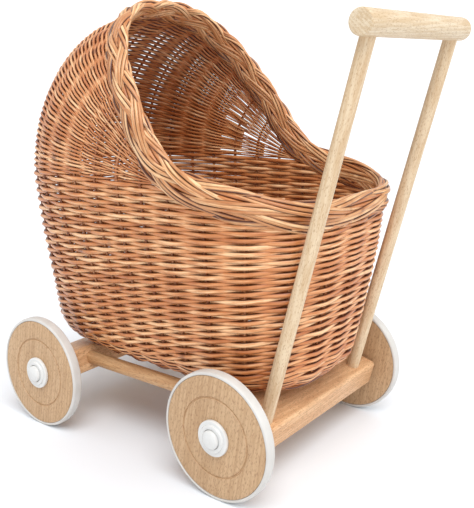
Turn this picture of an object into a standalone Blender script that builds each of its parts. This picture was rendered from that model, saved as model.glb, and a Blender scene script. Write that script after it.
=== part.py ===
"""Doll stroller: a wicker basket with a hood on a beech chassis with four disc wheels.

Metres, +Z up, +X the way the stroller is pushed, +Y its left side. The rear axle runs through
x = REAR_AXLE_X, and the floor is z = 0. Every sub-part is one object, wheels turn about their empties.
"""

import math

import bmesh
import bpy
from mathutils import Matrix, Vector

# Clearances
GAP = 0.0003             # between pieces that touch
PRESS_GAP = 0.00015      # round a pressed rod or a glued dowel end
RUNNING_GAP = 0.00015    # radial, between an axle and its bush
END_PLAY = 0.001         # between a spacer and the bush beside it
CUT_ROOM = 0.010         # how far a through bore's cutter stands out at each end

# Wheels
TYRE_RADIUS = 0.075
TYRE_BAND = 0.0036       # radial height of the tyre outside the disc
TYRE_WIDTH = 0.0138
TYRE_KEY = 0.0014        # depth of the seat that keeps the tyre on
TYRE_CHAMFER = 0.0012    # radial size of the chamfer along each edge of the tread
TYRE_SHOULDER = 0.0022   # sideways size of that chamfer
DISC_WIDTH = 0.0132
GROOVE_RADIUS = 0.0462
GROOVE_WIDTH = 0.0010
GROOVE_DEPTH = 0.0008
WHEELBASE = 0.3136

# Axles, bushes, caps and spacers
AXLE_RADIUS = 0.004
HUB_BARREL_RADIUS = 0.0145
HUB_FLANGE_RADIUS = 0.021
HUB_FLANGE_HEIGHT = 0.0042
HUB_STEP_RADIUS = 0.016
HUB_STEP_HEIGHT = 0.0020
HUB_SKIRT = 0.0020       # how far the bush stands inside the wheel
HUB_CHAMFER = 0.0012     # round the flange's outer edge
HUB_TAPER = 0.001        # by which the step narrows towards its mouth
CAP_RADIUS = 0.011
CAP_ROOM = 0.0004        # round the cap, which stands still while the bush turns
CAP_DEPTH = 0.0046       # how far the cap sits in the bush
CAP_DOME = 0.0050        # how far its dome stands out
CAP_PROFILE = ((1.0, 0.3), (0.84, 0.72), (0.5, 0.94))  # the dome's (radius, height) shares
SPACER_RADIUS = 0.010
SPACER_WIDTH = 0.0015

# Boards and rails
LEAN = math.radians(16.5)  # the rear board and the arms lean back by this, the front board forwards
BOARD_WIDTH = 0.0888
BOARD_THICKNESS = 0.033
BOARD_LENGTH = 0.2760
BOARD_ROUND = 0.004
RAIL_RADIUS = 0.009
RAIL_Y = 0.097
RAIL_SOCKET = 0.018

# Arms and handle
ARM_RADIUS = 0.00825
ARM_Y = 0.101
ARM_INSET = 0.0277       # behind the middle of the rear board
ARM_SOCKET = 0.020
ARM_LENGTH = 0.464       # from the top of the board to the handle's axis
HANDLE_RADIUS = 0.014
HANDLE_LENGTH = 0.2456
HANDLE_ROUND = 0.0022
HANDLE_SOCKET = 0.010    # from the handle's axis up to the end of an arm

# Basket: each level is two half superellipses that meet at x = PIVOT_X
WALL = 0.010
BASE_THICKNESS = 0.008
PIVOT_X = 0.084          # ahead of the rear axle, where the basket is widest and the hood fans out
PIVOT_HEIGHT = 0.251     # above the underside of the base
HALF_WIDTH_LOW = 0.114
HALF_WIDTH_HIGH = 0.149
FRONT_OVERHANG = 0.0664  # of the basket's foot, past the front axle
FRONT_LOW = WHEELBASE + FRONT_OVERHANG - PIVOT_X
FRONT_HIGH = FRONT_LOW + 0.023
REAR_LOW = 0.1436
REAR_HIGH = 0.1825
FRONT_POWER = 3.4
REAR_POWER = 3.0
FLARE_POWER = 1.4
FOOT_ROUND = 0.014       # the wall tucks in by this at the base
FOOT_HEIGHT = 0.022
SIDE_SLOPE = 0.215       # rise of the border towards the hood
HOOD_ANGLE = math.radians(57.3)
HOOD_REACH = 0.2487      # from the pivot line to the top of the hood's mouth
HOOD_POWER = 2.5
BORDER_HEIGHT = 0.040
BORDER_THICKNESS = 0.024
BORDER_LIFT = 0.004
BORDER_REAR_INSET = 0.002  # by which the border lies inside the wall at the rear
BORDER_BLEND = 0.0139    # how round the border turns from the side up into the hood

# Screws
SCREW_RADIUS = 0.002
SCREW_LENGTH = 0.026
SCREW_HEAD_RADIUS = 0.0042
SCREW_HEAD_HEIGHT = 0.0026
SCREW_LAND = 0.0004      # the straight edge of a countersunk head
SCREW_TIP = 0.003        # length of a screw's point
SCREW_INSET = 0.016      # from the inner edge of a board
SCREW_Y = 0.055
WASHER_RADIUS = 0.009
WASHER_THICKNESS = 0.0012
ARM_SCREW_LENGTH = 0.036

# Fineness
WHEEL_SEGMENTS = 36
ROUND_SEGMENTS = 20
HANDLE_SEGMENTS = 24
SCREW_SEGMENTS = 12
BASKET_SEGMENTS = 56
WALL_ROWS = 7
WALL_CROWDING = 1.5      # rows lie closer together near the base, where the wall tucks in
HOOD_ROWS = 6
BORDER_SEGMENTS = 84
BORDER_SECTION = 8
SHARP_ANGLE = math.radians(35)

# Derived places
BOARD_END_Y = BOARD_LENGTH / 2
WHEEL_FACE_Y = BOARD_END_Y + GAP + SPACER_WIDTH + END_PLAY + HUB_SKIRT + DISC_WIDTH
BOARD_TOP_Z = (
    TYRE_RADIUS
    + (BOARD_WIDTH / 2 - BOARD_ROUND) * math.sin(LEAN)
    + (BOARD_THICKNESS / 2 - BOARD_ROUND) * math.cos(LEAN)
    + BOARD_ROUND
)
BASE_Z = BOARD_TOP_Z + GAP
WALL_Z = BASE_Z + BASE_THICKNESS + GAP
PIVOT_Z = BASE_Z + PIVOT_HEIGHT
HANDLE_RISE = BOARD_THICKNESS / 2 + ARM_LENGTH
HANDLE_BACK = ARM_INSET * math.cos(LEAN) + HANDLE_RISE * math.sin(LEAN)
REAR_MOST = HANDLE_BACK + HANDLE_RADIUS
FRONT_MOST = max(PIVOT_X + FRONT_HIGH, WHEELBASE + TYRE_RADIUS)
REAR_AXLE_X = (REAR_MOST - FRONT_MOST) / 2
FRONT_AXLE_X = REAR_AXLE_X + WHEELBASE
PIVOT = Vector((REAR_AXLE_X + PIVOT_X, 0, PIVOT_Z))

WOOD = {"color": (0.74, 0.57, 0.38), "roughness": 0.55, "metallic": 0.0}
WARM_WOOD = {"color": (0.66, 0.44, 0.26), "roughness": 0.5, "metallic": 0.0}
WILLOW = {"color": (0.62, 0.33, 0.14), "roughness": 0.6, "metallic": 0.0}
WHITE_RUBBER = {"color": (0.86, 0.85, 0.81), "roughness": 0.6, "metallic": 0.0}
WHITE_PLASTIC = {"color": (0.93, 0.93, 0.92), "roughness": 0.2, "metallic": 0.0}
STEEL = {"color": (0.62, 0.62, 0.61), "roughness": 0.3, "metallic": 1.0}


def clear_scene():
    """Removes every object of the startup scene."""
    for obj in list(bpy.data.objects):
        bpy.data.objects.remove(obj, do_unlink=True)


def material(name, finish):
    """A Principled material with one piece's colour, roughness and metallic value."""
    made = bpy.data.materials.new(name)
    made.use_nodes = True
    shader = made.node_tree.nodes["Principled BSDF"]
    shader.inputs["Base Color"].default_value = (*finish["color"], 1.0)
    shader.inputs["Roughness"].default_value = finish["roughness"]
    shader.inputs["Metallic"].default_value = finish["metallic"]
    made.diffuse_color = (*finish["color"], 1.0)
    return made


def add_object(name, bm, finish, place=Matrix.Identity(4), parent=None):
    """Turns a bmesh into a named object with its own material, placed in its parent's space."""
    bmesh.ops.recalc_face_normals(bm, faces=bm.faces)
    mesh = bpy.data.meshes.new(name)
    bm.to_mesh(mesh)
    bm.free()
    obj = bpy.data.objects.new(name, mesh)
    bpy.context.scene.collection.objects.link(obj)
    obj.parent = parent
    obj.matrix_local = place
    mesh.shade_smooth()
    mesh.set_sharp_from_angle(angle=SHARP_ANGLE)
    if finish is not None:
        mesh.materials.append(material(name, finish))
    return obj


def add_cutter(name, bm, place=Matrix.Identity(4)):
    """A helper solid for a Boolean, which is not part of the object."""
    cutter = add_object(name, bm, None, place)
    cutter.hide_render = True
    cutter.display_type = "WIRE"
    return cutter


def cut(obj, cutter):
    """Cuts one solid out of another."""
    modifier = obj.modifiers.new("cut_" + cutter.name, "BOOLEAN")
    modifier.operation = "DIFFERENCE"
    modifier.object = cutter


def turned(profile, segments, hollow=False):
    """A solid turned about Z from (radius, height) points. A hollow profile is a closed loop."""
    bm = bmesh.new()
    rings = []
    for radius, height in profile:
        if radius == 0:
            rings.append([bm.verts.new((0, 0, height))])
            continue
        rings.append([
            bm.verts.new((
                radius * math.cos(2 * math.pi * k / segments),
                radius * math.sin(2 * math.pi * k / segments),
                height,
            ))
            for k in range(segments)
        ])
    pairs = list(zip(rings, rings[1:]))
    if hollow:
        pairs.append((rings[-1], rings[0]))
    for low, high in pairs:
        bridge(bm, low, high, closed=True)
    return bm


def bridge(bm, low, high, closed):
    """Faces between two rows of vertices. A row of one vertex makes a fan."""
    count = max(len(low), len(high))
    for k in range(count if closed else count - 1):
        lower = [low[k % len(low)], low[(k + 1) % len(low)]]
        upper = [high[(k + 1) % len(high)], high[k % len(high)]]
        distinct = list(dict.fromkeys(lower + upper))
        if len(distinct) > 2:
            bm.faces.new(distinct)


def arc(centre, radius, start, end, steps):
    """Points (r, z) on an arc about a centre, from one angle in degrees to another."""
    angles = [math.radians(start + (end - start) * k / steps) for k in range(steps + 1)]
    return [(centre[0] + radius * math.cos(a), centre[1] + radius * math.sin(a)) for a in angles]


def along_y(side=1):
    """Turns a solid's Z axis to +Y, or to -Y for side -1."""
    return Matrix.Rotation(-side * math.pi / 2, 4, "X")


def leaning(x, z, lean):
    """A frame at (x, 0, z), leaning back by an angle about Y."""
    return Matrix.Translation((x, 0, z)) @ Matrix.Rotation(-lean, 4, "Y")


def rod(radius, start, end, segments, bevel=0.0):
    """A plain rod along Z, with its end edges rounded or chamfered."""
    if bevel == 0:
        return turned([(0, start), (radius, start), (radius, end), (0, end)], segments)
    low = arc((radius - bevel, start + bevel), bevel, -90, 0, 2)
    high = arc((radius - bevel, end - bevel), bevel, 0, 90, 2)
    return turned([(0, start)] + low + high + [(0, end)], segments)


# ---------------------------------------------------------------- boards, rails, arms and handle


def board_frames():
    """The two boards' frames: the front one leans the other way."""
    return {
        "rear": leaning(REAR_AXLE_X, TYRE_RADIUS, LEAN),
        "front": leaning(FRONT_AXLE_X, TYRE_RADIUS, -LEAN),
    }


def add_board(end, frame):
    """A rounded beech board, bored for its axle and for the two rails."""
    bm = bmesh.new()
    size = (BOARD_WIDTH, BOARD_LENGTH, BOARD_THICKNESS)
    bmesh.ops.create_cube(bm, size=1.0, matrix=Matrix.Diagonal((*size, 1)))
    bmesh.ops.bevel(bm, geom=bm.edges, offset=BOARD_ROUND, segments=2, profile=0.5, affect="EDGES")
    board = add_object(end + "_board", bm, WARM_WOOD, frame)
    reach = BOARD_END_Y + CUT_ROOM
    bore = rod(AXLE_RADIUS + PRESS_GAP, -reach, reach, ROUND_SEGMENTS)
    cut(board, add_cutter(end + "_axle_bore", bore, frame @ along_y()))
    start, stop = rail_span()
    for y in (RAIL_Y, -RAIL_Y):
        socket = rod(RAIL_RADIUS + PRESS_GAP, start - GAP, stop + GAP, ROUND_SEGMENTS)
        cut(board, add_cutter(f"{end}_rail_socket_{y:+.3f}", socket, rail_place(y)))
    return board


def rail_height():
    """The rails run through the middle of the boards' inner faces."""
    return TYRE_RADIUS + BOARD_WIDTH / 2 * math.sin(LEAN)


def rail_span():
    """Where a rail starts and ends along X, in its sockets."""
    inner_face = BOARD_WIDTH / 2 * math.cos(LEAN)
    return REAR_AXLE_X + inner_face - RAIL_SOCKET, FRONT_AXLE_X - inner_face + RAIL_SOCKET


def rail_place(y):
    """A frame whose Z axis is world X, at a rail's height and side."""
    return Matrix.Translation((0, y, rail_height())) @ Matrix.Rotation(math.pi / 2, 4, "Y")


def add_rail(side, y):
    """A round rail that joins the two boards."""
    start, stop = rail_span()
    add_object("rail_" + side, rod(RAIL_RADIUS, start, stop, ROUND_SEGMENTS), WARM_WOOD, rail_place(y))


def arm_place(y):
    """An arm's frame: its origin on the board's mid-plane, its Z axis up the arm."""
    return board_frames()["rear"] @ Matrix.Translation((-ARM_INSET, y, 0))


def add_arm(side, y, board, handle):
    """A round arm from its socket in the rear board to its socket in the handle, with its screw."""
    foot = BOARD_THICKNESS / 2 - ARM_SOCKET
    top = HANDLE_RISE + HANDLE_SOCKET
    pilot = SCREW_RADIUS + PRESS_GAP
    depth = ARM_SCREW_LENGTH - (BOARD_THICKNESS - ARM_SOCKET) + GAP
    profile = [(0, foot + depth), (pilot, foot + depth), (pilot, foot), (ARM_RADIUS, foot)]
    profile += [(ARM_RADIUS, top), (0, top)]
    add_object("arm_" + side, turned(profile, ROUND_SEGMENTS), WOOD, arm_place(y))
    socket = ARM_RADIUS + PRESS_GAP
    long_socket = rod(socket, foot - GAP, top + GAP, ROUND_SEGMENTS)
    cutter = add_cutter(f"arm_socket_{side}", long_socket, arm_place(y))
    cut(board, cutter)
    cut(handle, cutter)
    add_arm_screw(side, y, board)


def add_arm_screw(side, y, board):
    """A countersunk screw up through the board into the end of an arm."""
    under = -BOARD_THICKNESS / 2
    head = SCREW_HEAD_RADIUS
    cone = head - SCREW_RADIUS
    land = under + SCREW_LAND
    tip = under + ARM_SCREW_LENGTH
    profile = [(0, under), (head, under), (head, land), (SCREW_RADIUS, land + cone)]
    profile += [(SCREW_RADIUS, tip - SCREW_TIP), (0, tip)]
    place = arm_place(y)
    add_object("arm_screw_" + side, turned(profile, SCREW_SEGMENTS), STEEL, place)
    seat = SCREW_RADIUS + PRESS_GAP
    wide = head + PRESS_GAP
    low = under - CUT_ROOM
    hole = [(0, low), (wide, low), (wide, land + GAP), (seat, land + GAP + cone), (seat, 0), (0, 0)]
    cut(board, add_cutter("arm_screw_hole_" + side, turned(hole, SCREW_SEGMENTS), place))


def add_handle():
    """The round handle bar, lying on the arms' ends."""
    half = HANDLE_LENGTH / 2
    place = board_frames()["rear"] @ Matrix.Translation((-ARM_INSET, 0, HANDLE_RISE)) @ along_y()
    bar = rod(HANDLE_RADIUS, -half, half, HANDLE_SEGMENTS, HANDLE_ROUND)
    return add_object("handle_bar", bar, WOOD, place)


# ---------------------------------------------------------------- axles and wheels


def hub_heights():
    """Distances out from the mid-plane along an axle, from the board's end to the cap's dome."""
    flange = WHEEL_FACE_Y + GAP
    step = flange + HUB_FLANGE_HEIGHT
    mouth = step + HUB_STEP_HEIGHT
    return {
        "spacer": BOARD_END_Y + GAP,
        "skirt": WHEEL_FACE_Y - DISC_WIDTH - HUB_SKIRT,
        "flange": flange,
        "step": step,
        "mouth": mouth,
        "seat": mouth - CAP_DEPTH,
    }


def add_axle(end, x):
    """A steel rod through its board, with its ends pressed into the caps."""
    half = hub_heights()["mouth"]
    place = Matrix.Translation((x, 0, TYRE_RADIUS)) @ along_y()
    add_object(end + "_axle", rod(AXLE_RADIUS, -half, half, ROUND_SEGMENTS), STEEL, place)


def tyre_seat(gap=0.0):
    """The wheel's rim line, as (radius, half width): a shallow groove that keeps the tyre on."""
    rim = TYRE_RADIUS - TYRE_BAND
    return rim + gap, rim - TYRE_KEY + gap


def add_disc(name, parent):
    """A beech disc with a groove on its face and a seat for the tyre round its rim."""
    half = DISC_WIDTH / 2
    rim, seat = tyre_seat(-GAP)
    hole = HUB_BARREL_RADIUS + PRESS_GAP
    groove = half - GROOVE_DEPTH
    profile = [
        (hole, -half), (rim, -half), (seat, 0), (rim, half),
        (GROOVE_RADIUS + GROOVE_WIDTH / 2, half), (GROOVE_RADIUS, groove),
        (GROOVE_RADIUS - GROOVE_WIDTH / 2, half), (hole, half),
    ]
    disc = turned(profile, WHEEL_SEGMENTS, hollow=True)
    add_object("wheel_disc_" + name, disc, WOOD, parent=parent)


def add_tyre(name, parent):
    """A white tyre stretched over the disc's rim."""
    half = TYRE_WIDTH / 2
    rim, seat = tyre_seat()
    edge = TYRE_RADIUS - TYRE_CHAMFER
    tread = half - TYRE_SHOULDER
    profile = [
        (seat, 0), (rim, -half), (edge, -half), (TYRE_RADIUS, -tread),
        (TYRE_RADIUS, tread), (edge, half), (rim, half),
    ]
    tyre = turned(profile, WHEEL_SEGMENTS, hollow=True)
    add_object("tyre_" + name, tyre, WHITE_RUBBER, parent=parent)


def add_hub(name, parent):
    """A flanged bush in the disc, which runs on the axle and has a seat for the cap."""
    at = hub_heights()
    middle = WHEEL_FACE_Y - DISC_WIDTH / 2
    bore = AXLE_RADIUS + RUNNING_GAP
    seat = CAP_RADIUS + CAP_ROOM
    profile = [
        (bore, at["skirt"]), (HUB_BARREL_RADIUS, at["skirt"]), (HUB_BARREL_RADIUS, at["flange"]),
        (HUB_FLANGE_RADIUS, at["flange"]), (HUB_FLANGE_RADIUS, at["step"] - HUB_CHAMFER),
        (HUB_FLANGE_RADIUS - HUB_CHAMFER, at["step"]), (HUB_STEP_RADIUS, at["step"]),
        (HUB_STEP_RADIUS - HUB_TAPER, at["mouth"]), (seat, at["mouth"]), (seat, at["seat"] - GAP),
        (bore, at["seat"] - GAP),
    ]
    profile = [(radius, height - middle) for radius, height in profile]
    bush = turned(profile, ROUND_SEGMENTS, hollow=True)
    add_object("hub_bush_" + name, bush, WHITE_PLASTIC, parent=parent)


def add_wheel(name, x, side):
    """One wheel: an empty on the joint's axis that carries the disc, the tyre and the bush."""
    axis = bpy.data.objects.new("wheel_axis_" + name, None)
    bpy.context.scene.collection.objects.link(axis)
    middle = WHEEL_FACE_Y - DISC_WIDTH / 2
    axis.matrix_local = Matrix.Translation((x, side * middle, TYRE_RADIUS)) @ along_y(side)
    add_disc(name, axis)
    add_tyre(name, axis)
    add_hub(name, axis)


def add_axle_end(name, x, side):
    """The spacer between board and wheel, and the domed cap on the end of the axle."""
    at = hub_heights()
    place = Matrix.Translation((x, 0, TYRE_RADIUS)) @ along_y(side)
    bore = AXLE_RADIUS + PRESS_GAP
    spacer = [(bore, at["spacer"]), (SPACER_RADIUS, at["spacer"])]
    spacer += [(radius, height + SPACER_WIDTH) for radius, height in reversed(spacer)]
    add_object("spacer_" + name, turned(spacer, ROUND_SEGMENTS, hollow=True), WHITE_PLASTIC, place)
    end = at["mouth"] + GAP
    cap = [(0, end), (bore, end), (bore, at["seat"]), (CAP_RADIUS, at["seat"])]
    cap += [(CAP_RADIUS * wide, at["mouth"] + CAP_DOME * high) for wide, high in CAP_PROFILE]
    cap += [(0, at["mouth"] + CAP_DOME)]
    add_object("axle_cap_" + name, turned(cap, ROUND_SEGMENTS), WHITE_PLASTIC, place)


# ---------------------------------------------------------------- basket


def half_ellipses(angle, half_width, front, rear, front_power, rear_power):
    """A point (ahead, aside) on a level made of two half superellipses, at a polar angle."""
    cosine, sine = math.cos(angle), math.sin(angle)
    length, power = (front, front_power) if cosine > 0 else (rear, rear_power)
    radius = ((abs(cosine) / length) ** power + (abs(sine) / half_width) ** power) ** (-1 / power)
    return radius * cosine, radius * sine


def wall_point(angle, share, inset):
    """A point of the basket's wall: share 0 is the base, 1 the border or the hood's edge."""
    height = PIVOT_Z - WALL_Z
    rise = share * height
    flare = 1 - (1 - share) ** FLARE_POWER
    tuck = max(0.0, 1 - rise / FOOT_HEIGHT)
    inset = inset + FOOT_ROUND * (1 - math.sqrt(1 - tuck * tuck))
    half_width = HALF_WIDTH_LOW + (HALF_WIDTH_HIGH - HALF_WIDTH_LOW) * flare - inset
    front = FRONT_LOW + (FRONT_HIGH - FRONT_LOW) * flare - inset
    rear = REAR_LOW + (REAR_HIGH - REAR_LOW) * flare - inset
    ahead, aside = half_ellipses(angle, half_width, front, rear, FRONT_POWER, REAR_POWER)
    if ahead < 0:
        rise = share * (height + SIDE_SLOPE * ahead)
    return Vector((PIVOT.x + ahead, aside, WALL_Z + rise))


def hood_point(angle, share, inset):
    """A point of the hood: its arches fan up about the pivot line from level to the mouth."""
    tilt = HOOD_ANGLE * share
    reach = FRONT_HIGH + (HOOD_REACH - FRONT_HIGH) * share**2 - inset
    power = FRONT_POWER + (HOOD_POWER - FRONT_POWER) * share
    ahead, aside = half_ellipses(angle, HALF_WIDTH_HIGH - inset, reach, reach, power, power)
    return PIVOT + Vector((ahead * math.cos(tilt), aside, ahead * math.sin(tilt) + GAP))


def border_height(ahead):
    """Height of the border's centre line above the pivot, and its slope, as seen from the side."""
    mouth_slope = math.tan(HOOD_ANGLE)
    low, steep = SIDE_SLOPE * ahead, mouth_slope * ahead
    half = (steep - low) / 2
    root = math.hypot(half, BORDER_BLEND)
    slope = (SIDE_SLOPE + mouth_slope) / 2 + half / root * (mouth_slope - SIDE_SLOPE) / 2
    return (low + steep) / 2 + root + BORDER_LIFT, slope


def border_point(angle):
    """A point on the border's centre line, and the side-view slope there."""
    middle = WALL / 2
    half_width = HALF_WIDTH_HIGH - middle
    mouth = HOOD_REACH - middle
    rear = REAR_HIGH - middle - BORDER_REAR_INSET
    ahead, aside = half_ellipses(angle, half_width, mouth, rear, HOOD_POWER, REAR_POWER)
    if ahead > 0:
        ahead *= math.cos(HOOD_ANGLE)
    height, slope = border_height(ahead)
    return PIVOT + Vector((ahead, aside, height)), slope


def shell(point, angles, rows, closed, crowding=1.0):
    """A closed shell between an outer surface and one WALL further in, its rows crowding to the base."""
    bm = bmesh.new()
    shares = [(k / rows) ** crowding for k in range(rows + 1)]
    levels = [(share, 0.0) for share in shares] + [(share, WALL) for share in reversed(shares)]
    grid = [[bm.verts.new(point(a, share, inset)) for a in angles] for share, inset in levels]
    for low, high in zip(grid, grid[1:] + grid[:1]):
        bridge(bm, low, high, closed)
    bmesh.ops.remove_doubles(bm, verts=bm.verts, dist=1e-6)
    bmesh.ops.dissolve_degenerate(bm, edges=bm.edges, dist=1e-7)
    return bm


def full_turn(count):
    """Angles round a whole level."""
    return [2 * math.pi * k / count for k in range(count)]


def border_tube(grow=0.0):
    """The border as a tube of elliptic section along its centre line."""
    bm = bmesh.new()
    count = BORDER_SEGMENTS
    points = [border_point(a) for a in full_turn(count)]
    rings = []
    for k, (centre, slope) in enumerate(points):
        forward = (points[(k + 1) % count][0] - points[k - 1][0]).normalized()
        upright = Vector((-math.sin(math.atan(slope)), 0, math.cos(math.atan(slope))))
        upright = (upright - upright.dot(forward) * forward).normalized()
        across = forward.cross(upright)
        rings.append([
            bm.verts.new(
                centre
                + across * (BORDER_THICKNESS / 2 + grow) * math.cos(turn)
                + upright * (BORDER_HEIGHT / 2 + grow) * math.sin(turn)
            )
            for turn in full_turn(BORDER_SECTION)
        ])
    for low, high in zip(rings, rings[1:] + rings[:1]):
        bridge(bm, low, high, closed=True)
    return bm


def add_basket():
    """The woven base, wall, hood and border, each as one plain solid."""
    base = add_base()
    wall_shell = shell(wall_point, full_turn(BASKET_SEGMENTS), WALL_ROWS, True, WALL_CROWDING)
    wall = add_object("basket_wall", wall_shell, WILLOW)
    half = BASKET_SEGMENTS // 2
    fan = [math.pi * (k / half - 0.5) for k in range(half + 1)]
    hood = add_object("basket_hood", shell(hood_point, fan, HOOD_ROWS, False), WILLOW)
    groove = add_cutter("border_room", border_tube(GAP))
    cut(wall, groove)
    cut(hood, groove)
    add_object("basket_border", border_tube(), WILLOW)
    return base


def add_base():
    """The flat woven base, which the wall stands on."""
    bm = bmesh.new()
    rings = []
    for z in (BASE_Z, BASE_Z + BASE_THICKNESS):
        points = [wall_point(a, 0.0, 0.0) for a in full_turn(BASKET_SEGMENTS)]
        rings.append([bm.verts.new((p.x, p.y, z)) for p in points])
    bridge(bm, rings[0], rings[1], closed=True)
    bm.faces.new(rings[0])
    bm.faces.new(rings[1])
    return add_object("basket_base", bm, WILLOW)


def add_basket_screws(base, boards):
    """Four screws with washers, down through the base into the boards."""
    inner = BOARD_WIDTH / 2 * math.cos(LEAN) - BOARD_THICKNESS / 2 * math.sin(LEAN)
    rows = {
        "rear": REAR_AXLE_X + inner - SCREW_INSET,
        "front": FRONT_AXLE_X - inner + SCREW_INSET,
    }
    floor = BASE_Z + BASE_THICKNESS
    hole = SCREW_RADIUS + PRESS_GAP
    under_head = floor + GAP + WASHER_THICKNESS + GAP
    tip = under_head - SCREW_LENGTH
    for end, x in rows.items():
        for side, y in (("left", SCREW_Y), ("right", -SCREW_Y)):
            name = f"{end}_{side}"
            place = Matrix.Translation((x, y, 0))
            washer = [(hole, floor + GAP), (WASHER_RADIUS, floor + GAP)]
            washer += [(radius, height + WASHER_THICKNESS) for radius, height in reversed(washer)]
            add_object("basket_washer_" + name, turned(washer, ROUND_SEGMENTS, hollow=True), STEEL, place)
            head = [
                (r * SCREW_HEAD_RADIUS, under_head + z * SCREW_HEAD_HEIGHT)
                for r, z in arc((0, 0), 1.0, 0, 90, 3)
            ]
            head[-1] = (0, under_head + SCREW_HEAD_HEIGHT)
            screw = [(0, tip), (SCREW_RADIUS, tip + SCREW_TIP), (SCREW_RADIUS, under_head)] + head
            add_object("basket_screw_" + name, turned(screw, SCREW_SEGMENTS), STEEL, place)
            room = rod(hole, tip - GAP, under_head, SCREW_SEGMENTS)
            cutter = add_cutter("basket_screw_hole_" + name, room, place)
            cut(base, cutter)
            cut(boards[end], cutter)


def main():
    """Builds the whole stroller."""
    clear_scene()
    boards = {end: add_board(end, frame) for end, frame in board_frames().items()}
    handle = add_handle()
    for side, sign in (("left", 1), ("right", -1)):
        add_rail(side, sign * RAIL_Y)
        add_arm(side, sign * ARM_Y, boards["rear"], handle)
    for end, x in (("rear", REAR_AXLE_X), ("front", FRONT_AXLE_X)):
        add_axle(end, x)
        for side, sign in (("left", 1), ("right", -1)):
            add_wheel(f"{end}_{side}", x, sign)
            add_axle_end(f"{end}_{side}", x, sign)
    base = add_basket()
    add_basket_screws(base, boards)


main()
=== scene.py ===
# %% [markdown]
# # A wicker doll stroller
#
# The stroller is a willow basket with a hood, on two beech boards, two rails and four disc wheels.
# The CAD model is loaded first and stays fixed: it gives every place and every moving body.
# Each step below says what a piece is, how it could be made, and why this way was chosen.

# %% The frame
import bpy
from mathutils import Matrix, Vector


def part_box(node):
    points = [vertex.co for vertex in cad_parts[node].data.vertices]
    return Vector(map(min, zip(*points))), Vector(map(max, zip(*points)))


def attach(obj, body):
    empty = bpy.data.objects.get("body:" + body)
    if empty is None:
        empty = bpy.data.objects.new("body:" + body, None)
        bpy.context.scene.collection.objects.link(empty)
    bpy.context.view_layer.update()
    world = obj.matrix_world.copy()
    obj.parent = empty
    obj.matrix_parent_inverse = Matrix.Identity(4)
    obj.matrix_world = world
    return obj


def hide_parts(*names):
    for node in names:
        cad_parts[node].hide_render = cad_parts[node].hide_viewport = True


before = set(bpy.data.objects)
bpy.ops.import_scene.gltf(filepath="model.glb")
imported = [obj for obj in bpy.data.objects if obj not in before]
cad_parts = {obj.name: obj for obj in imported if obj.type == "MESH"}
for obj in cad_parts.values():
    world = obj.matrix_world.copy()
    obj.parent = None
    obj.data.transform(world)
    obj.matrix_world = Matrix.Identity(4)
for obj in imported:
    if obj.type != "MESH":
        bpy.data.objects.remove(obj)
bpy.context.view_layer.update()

import math

import bpy
import numpy as np
from mathutils import Matrix, Vector

# %% [markdown]
# ## The camera
#
# The stroller is seen from behind and to its left, a little from above. A camera could be aimed
# with a Track To constraint. Here its axes are written as a matrix, so a slight roll fits in too.

# %% The camera
IMAGE_HEIGHT = 508
EYE = (-0.6312, 0.7692, 0.4867)
AZIMUTH, ELEVATION, ROLL = math.radians(218.06), math.radians(7.59), math.radians(-0.85)
FOCAL_RATIO = 757.1 / IMAGE_HEIGHT      # focal length over image height
SHIFT = (0.0, -86.0 / IMAGE_HEIGHT)


def aim_camera():
    """The camera looks against its back vector, which comes from azimuth and elevation."""
    back = Vector((
        math.sin(AZIMUTH) * math.cos(ELEVATION),
        -math.cos(AZIMUTH) * math.cos(ELEVATION),
        math.sin(ELEVATION),
    ))
    right = Vector((0, 0, 1)).cross(back).normalized()
    up = back.cross(right)
    turn = Matrix((right, up, back)).transposed() @ Matrix.Rotation(ROLL, 3, "Z")
    data = bpy.data.cameras.new("camera")
    data.sensor_width = 36.0
    data.lens = FOCAL_RATIO * data.sensor_width
    data.shift_x, data.shift_y = SHIFT
    data.clip_start, data.clip_end = 0.02, 60.0
    camera = bpy.data.objects.new("camera", data)
    bpy.context.scene.collection.objects.link(camera)
    camera.matrix_world = Matrix.Translation(EYE) @ turn.to_4x4()
    bpy.context.scene.camera = camera
    return camera


print("camera lens", round(aim_camera().data.lens, 2), "mm")

# %% [markdown]
# ## The studio
#
# A white sweep under soft light from above. Lamps near the object would fade away over the floor.
# Two distant soft suns light all of it evenly, and a pale world fills the shadows.

# %% Materials in nodes
def new_finish(name):
    """An empty material: its node tree and its Principled shader, already joined to the output."""
    made = bpy.data.materials.new(name)
    made.use_nodes = True
    tree = made.node_tree
    tree.nodes.clear()
    shader = tree.nodes.new("ShaderNodeBsdfPrincipled")
    output = tree.nodes.new("ShaderNodeOutputMaterial")
    tree.links.new(shader.outputs["BSDF"], output.inputs["Surface"])
    return made, tree, shader


def join(tree, value, socket):
    """Links a socket to another, or writes a plain value on it."""
    if isinstance(value, bpy.types.NodeSocket):
        tree.links.new(value, socket)
    else:
        socket.default_value = value


def node(tree, kind, sockets, **settings):
    """One shader node: its settings, and what goes into its sockets by name or number."""
    made = tree.nodes.new("ShaderNode" + kind)
    for key, value in settings.items():
        setattr(made, key, value)
    for key, value in sockets.items():
        join(tree, value, made.inputs[key])
    return made


def math_node(tree, operation, first, second=0.0):
    """A number worked out from one or two others."""
    return node(tree, "Math", {0: first, 1: second}, operation=operation).outputs[0]


def noise(tree, vector, scale, detail=3.0, roughness=0.5, distortion=0.0):
    """Soft noise between 0 and 1."""
    sockets = {"Vector": vector, "Scale": scale, "Detail": detail, "Roughness": roughness}
    return node(tree, "TexNoise", {**sockets, "Distortion": distortion}).outputs["Fac"]


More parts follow.
